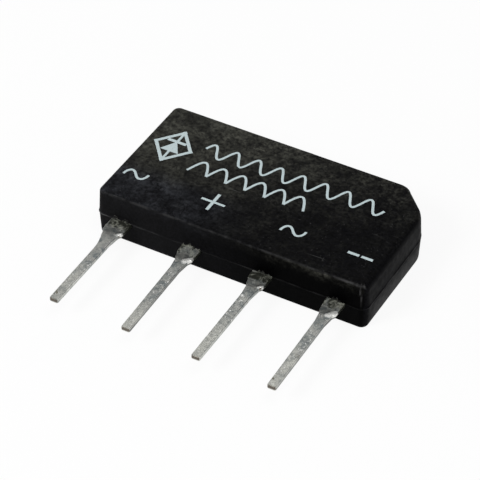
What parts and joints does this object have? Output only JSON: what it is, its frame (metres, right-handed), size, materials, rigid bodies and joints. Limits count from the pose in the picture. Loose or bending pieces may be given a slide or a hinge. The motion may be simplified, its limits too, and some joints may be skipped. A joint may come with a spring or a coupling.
{
  "type": "bridge rectifier",
  "caption": "Flat in-line bridge rectifier: a moulded case with one cut corner and a row of flat leads, holding diode dice between two levels of lead frame.",
  "frame": {"origin": "centre of the case's flat back face, on which the part lies", "axes": "+X along the row of leads towards the minus lead, +Y away from the leads towards the opposite side of the case, +Z out of the marked face"},
  "size_m": [0.019, 0.0184, 0.0034],
  "materials": {
    "epoxy": "matt black moulding resin, faintly mottled",
    "tinned_lead": "dull tin plating, stained at the roots",
    "silicon": "polished opaque silicon",
    "solder": "bright solder",
    "marking_ink": "thin pale marking ink"
  },
  "bodies": {
    "root": {"case": "epoxy", "ac_lead_left": "tinned_lead", "plus_lead": "tinned_lead", "ac_lead_right": "tinned_lead", "minus_lead": "tinned_lead", "die_ac_left_to_plus": "silicon", "die_ac_right_to_plus": "silicon", "die_minus_to_ac_left": "silicon", "die_minus_to_ac_right": "silicon", "solder_under_die_ac_left_to_plus": "solder", "solder_over_die_ac_left_to_plus": "solder", "solder_under_die_ac_right_to_plus": "solder", "solder_over_die_ac_right_to_plus": "solder", "solder_under_die_minus_to_ac_left": "solder", "solder_over_die_minus_to_ac_left": "solder", "solder_under_die_minus_to_ac_right": "solder", "solder_over_die_minus_to_ac_right": "solder"}
  },
  "joints": []
}
